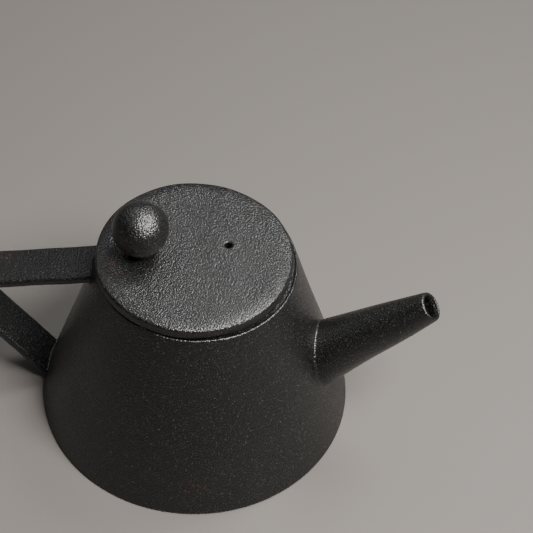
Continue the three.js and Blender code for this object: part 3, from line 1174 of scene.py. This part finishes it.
@dataclass
class Basket:
    """The stainless strainer basket that hangs in the mouth."""

    sheet: float = 0.5 * MM
    wall_top: float = 26.5 * MM
    wall_bottom: float = 25.3 * MM
    collar: float = 6 * MM
    cup: float = 3 * MM
    cup_opening: float = 21.5 * MM
    lap: float = 0.35 * MM
    pitch: float = 1.9 * MM
    hole: float = 0.62
    gap: float = 0.3 * MM
    columns: int = 192

    def __post_init__(self) -> None:
        """Takes the flange's height and size and the basket's foot from the frame."""
        low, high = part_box("basket_rim")
        self.flange_radius = high.x
        self.top = high.z
        self.flange = self.top - self.sheet
        self.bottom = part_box("basket_cup")[0].z

    def wall_radius(self, height: Array) -> Array:
        """The wall's outer radius at a height."""
        share = (height - self.bottom) / (self.flange - self.bottom)
        return self.wall_bottom + (self.wall_top - self.wall_bottom) * share

    def turned(self, outline: Array) -> Surface:
        """A closed ring from an outline whose last point joins its first."""
        made = Surface()
        lattice = made.add(revolve(outline, self.columns))
        made.quads(np.concatenate([lattice, lattice[:1]]))
        return made

    def rim(self) -> Surface:
        """The flange with a rolled edge, and the collar under it."""
        inner = self.wall_top + self.lap
        outer = inner + self.sheet
        bead = self.sheet / 2
        path = Outline(inner, self.top - bead).line(inner, self.flange - self.collar, 4)
        path.line(outer, self.flange - self.collar, 1).line(outer, self.flange - bead, 4)
        path.arc(bead, 180, 90, 4).line(self.flange_radius - bead, self.flange, 3)
        path.arc(bead, -90, 90, 8).line(inner + bead, self.top, 3).arc(bead, 90, 170, 4)
        return self.turned(path.points())

    def cup_ring(self) -> Surface:
        """The cup round the foot of the wall, with a rounded corner and an inward lip."""
        inner = self.wall_bottom + self.lap
        outer = inner + self.sheet
        low = self.bottom
        path = Outline(self.cup_opening, low + self.sheet).line(self.cup_opening, low, 1)
        path.line(outer - 2 * self.sheet, low, 3).arc(2 * self.sheet, -90, 0, 6)
        path.line(outer, low + self.cup, 2).line(inner, low + self.cup, 1)
        path.line(inner, low + self.sheet, 3)
        return self.turned(path.points())

    def perforate(self, place: Callable[[Array, Array, Array], Array], columns: int, rows: int,
                  closed: bool) -> Surface:
        """A sheet with a hole in the middle of every cell.

        A cell has eight points round its edge and eight round its hole. Each ring is joined to the
        next with quads, on the front, through the hole and on the back, and at the sheet's border
        the back's ring is joined to the front's.

        Args:
            place: gives positions for arrays of column, row and depth, 0 in front and 1 behind.
            columns: cells along a row.
            rows: the number of rows.
            closed: whether rows close on themselves. Then every second row is half a cell along.

        Returns:
            The sheet.
        """
        eighth = np.arange(8) * TAU / 8
        circle = np.stack([np.cos(eighth), np.sin(eighth)], -1)
        square = circle / np.abs(circle).max(-1, keepdims=True)
        column, row = np.meshgrid(np.arange(columns), np.arange(rows))
        middle = np.stack([column + 0.5 * (row % 2 if closed else 0 * row), row + 0 * column], -1)
        middle = middle.reshape(-1, 1, 2) + 0.5
        front_edge, front_hole = middle + square / 2, middle + circle * self.hole / 2
        rings = np.stack([front_edge, front_hole, front_hole, front_edge])
        depth = np.array([0.0, 0.0, 1.0, 1.0])[:, None, None] + 0 * rings[..., 0]
        made = Surface()
        lattice = made.add(place(rings[..., 0], rings[..., 1], depth))
        beside = np.roll(lattice, -1, axis=2)
        faces = np.stack([lattice[:-1], beside[:-1], beside[1:], lattice[1:]], -1)
        made.faces.append(faces.reshape(-1, 4))
        u, v = np.moveaxis(front_edge, -1, 0)
        sides = [(v, 0), (v, rows)] + ([] if closed else [(u, 0), (u, columns)])
        border = np.zeros(u.shape, bool)
        for along, end in sides:
            at_end = np.isclose(along, end)
            border |= at_end & np.roll(at_end, -1, axis=1)
        edge = np.stack([lattice[-1], beside[-1], beside[0], lattice[0]], -1)
        made.faces.append(edge[border])
        return made

    def wall(self) -> Surface:
        """The perforated wall: a column is an angle, a row is a height."""
        low = self.bottom + 2 * self.sheet
        rows = round((self.flange - low) / self.pitch)
        columns = round(TAU * self.wall_top / self.pitch)

        def place(column: Array, row: Array, depth: Array) -> Array:
            """The cell grid wrapped round the basket."""
            turn = TAU * column / columns
            height = low + (self.flange - low) * row / rows
            radius = self.wall_radius(height) - self.sheet * depth
            return np.stack([radius * np.cos(turn), radius * np.sin(turn), height], -1)

        return self.perforate(place, columns, rows, closed=True)

    def disc(self) -> Surface:
        """The perforated floor: the square grid's rings of cells become round rings.

        For a point (u, v) of the square, the larger of |u| and |v| is its distance from the middle,
        and its angle is an eighth turn times the ratio of the smaller to the larger.
        """
        radius = self.wall_bottom - self.sheet - self.gap
        low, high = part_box("strainer_disc")
        cells = 2 * round(radius / self.pitch)

        def place(column: Array, row: Array, depth: Array) -> Array:
            """The cell grid pressed into a disc."""
            u, v = 2 * column / cells - 1, 2 * row / cells - 1
            far = np.maximum(np.abs(u), np.abs(v))
            wide = np.abs(u) >= np.abs(v)
            larger = np.where(wide, u, v)
            smaller = np.where(wide, v, u)
            swing = TAU / 8 * smaller / np.where(np.abs(larger) < 1e-12, 1, larger)
            c, s = np.cos(swing), np.sin(swing)
            sign = np.sign(larger)
            x = radius * far * sign * np.where(wide, c, s)
            y = radius * far * sign * np.where(wide, s, c)
            return np.stack([x, y, high.z - (high.z - low.z) * depth], -1)

        return self.perforate(place, cells, cells, closed=False)

    def make(self, finish: bpy.types.Material) -> None:
        """Builds the rim, the wall, the cup and the strainer disc in stainless steel."""
        for surface, name, node in (
            (self.rim(), "basket_flange", "basket_rim"),
            (self.wall(), "basket_sieve", "basket_wall"),
            (self.cup_ring(), "basket_foot", "basket_cup"),
            (self.disc(), "basket_strainer", "strainer_disc"),
        ):
            put(surface, name, Body.INFUSER, Slot.STAINLESS, finish, node)


# ---- Studio --------------------------------------------------------------------------------------


def direction(azimuth: float, elevation: float) -> Vector:
    """The direction from the teapot at angles in radians, with azimuth 0 in front."""
    level = math.cos(elevation)
    return Vector((math.sin(azimuth) * level, -math.cos(azimuth) * level, math.sin(elevation)))


@dataclass(frozen=True)
class View:
    """The camera: a long lens that looks down on the teapot from in front."""

    azimuth: float = math.radians(5.5)
    elevation: float = math.radians(48.98)
    roll: float = math.radians(-4.007)
    distance: float = 548.726 * MM
    right: float = 22.909 * MM
    up: float = 45.016 * MM
    lens: float = 101.3
    sensor: float = 36.0
    clip: Range = (0.01, 100.0)

    def make(self) -> None:
        """Adds the camera and makes it the scene's. The roll turns its right and up axes."""
        back = direction(self.azimuth, self.elevation)
        right = Vector((math.cos(self.azimuth), math.sin(self.azimuth), 0))
        up = back.cross(right)
        c, s = math.cos(self.roll), math.sin(self.roll)
        turned = Matrix((c * right - s * up, s * right + c * up, back)).transposed().to_4x4()
        place = self.right * right + self.up * up + self.distance * back
        data = bpy.data.cameras.new("view")
        data.lens, data.sensor_width = self.lens, self.sensor
        data.clip_start, data.clip_end = self.clip
        made = bpy.data.objects.new("view", data)
        made.matrix_world = Matrix.Translation(place) @ turned
        bpy.context.scene.collection.objects.link(made)
        bpy.context.scene.camera = made


@dataclass(frozen=True)
class Softbox:
    """A square area light that faces the teapot. Azimuth 0 is in front and 90 past the spout."""

    name: str
    azimuth: float
    elevation: float
    distance: float
    size: float
    power: float
    colour: tuple[float, float, float] = (1.0, 1.0, 1.0)

    def make(self, target: Vector) -> None:
        """Hangs the light in its direction from the target."""
        way = direction(math.radians(self.azimuth), math.radians(self.elevation))
        data = bpy.data.lights.new(self.name, "AREA")
        data.shape, data.size = "SQUARE", self.size
        data.energy, data.color = self.power, self.colour
        made = bpy.data.objects.new(self.name, data)
        turned = way.to_track_quat("Z", "Y").to_matrix().to_4x4()
        made.matrix_world = Matrix.Translation(target + self.distance * way) @ turned
        bpy.context.scene.collection.objects.link(made)


@dataclass
class Studio:
    """A pale floor, an even sky and a few soft lights."""

    floor_half: float = 3.0
    floor_points: int = 9
    aim: float = 40 * MM
    sky: float = 0.055
    sky_colour: Colour = (0.93, 0.96, 1.0, 1.0)
    lights: Sequence[Softbox] = (
        Softbox("key", 62, 58, 0.6, 0.26, 12.0, (1.0, 0.97, 0.94)),
        Softbox("window", 148, 55, 1.3, 0.45, 13.0),
        Softbox("left", 228, 50, 1.4, 0.8, 3.0),
    )

    def make(self) -> None:
        """Builds the floor, the sky and the lights."""
        steps = np.linspace(-self.floor_half, self.floor_half, self.floor_points)
        x, y = np.meshgrid(steps, steps)
        surface = Surface()
        lattice = surface.add(np.stack([x, y, 0 * x], -1))
        surface.quads(lattice, closed=False)
        floor = surface.piece("floor")
        floor.data.materials.append(PaleFloor().make())
        world = bpy.data.worlds.new("sky")
        world.use_nodes = True
        background = world.node_tree.nodes["Background"]
        background.inputs["Color"].default_value = self.sky_colour
        background.inputs["Strength"].default_value = self.sky
        bpy.context.scene.world = world
        for light in self.lights:
            light.make(Vector((0, 0, self.aim)))


def main() -> None:
    """Builds the teapot and its studio."""
    logging.basicConfig(level=logging.INFO, format="%(name)s: %(message)s")
    View().make()
    Studio().make()
    iron, zinc, stainless = SandCastIron().make(), ZincPlate().make(), Stainless().make()
    Pot().make(iron)
    Lid().make(iron, zinc)
    Basket().make(stainless)


if __name__ == "__main__":
    main()
